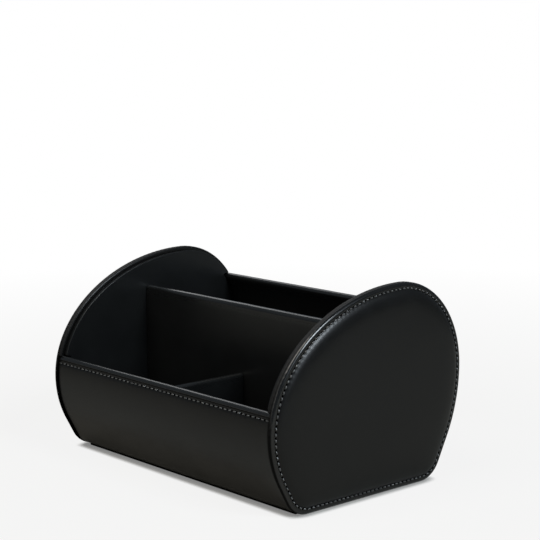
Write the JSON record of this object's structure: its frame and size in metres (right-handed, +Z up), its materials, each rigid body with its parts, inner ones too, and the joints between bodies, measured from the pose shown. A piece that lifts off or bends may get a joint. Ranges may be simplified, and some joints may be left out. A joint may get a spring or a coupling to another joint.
{
  "type": "remote control organizer",
  "caption": "Desktop organizer in black leather: padded rounded end caps, a low curved front wall, front compartments and a tall rear slot for a tablet.",
  "frame": {"origin": "centre of the footprint, on the surface that the felt sole stands on", "axes": "+X along the length towards the right end cap, +Y from the low front wall towards the back wall, +Z up"},
  "size_m": [0.2122, 0.152, 0.1215],
  "materials": {
    "outer_leather": "smooth black leather, satin, fine grain",
    "lining_leather": "smooth black lining leather, low sheen",
    "grey_board": "dense grey board",
    "pad_foam": "soft open-cell foam",
    "black_felt": "dense black felt"
  },
  "bodies": {
    "root": {"left_cap_cover": "outer_leather", "left_cap_foam": "pad_foam", "left_cap_board": "grey_board", "left_cap_facing": "outer_leather", "left_side_panel_card": "grey_board", "left_side_panel_lining": "lining_leather", "right_cap_cover": "outer_leather", "right_cap_foam": "pad_foam", "right_cap_board": "grey_board", "right_cap_facing": "outer_leather", "right_side_panel_card": "grey_board", "right_side_panel_lining": "lining_leather", "front_wall_board": "grey_board", "front_wall_cover": "outer_leather", "front_wall_lining": "lining_leather", "back_wall_board": "grey_board", "back_wall_cover": "outer_leather", "back_wall_lining": "lining_leather", "base_board": "grey_board", "base_sole": "black_felt", "divider_board": "grey_board", "divider_cover": "lining_leather", "partition_board": "grey_board", "partition_cover": "lining_leather", "front_left_floor_lining": "lining_leather", "front_right_floor_lining": "lining_leather", "tablet_slot_floor_lining": "lining_leather"}
  },
  "joints": []
}
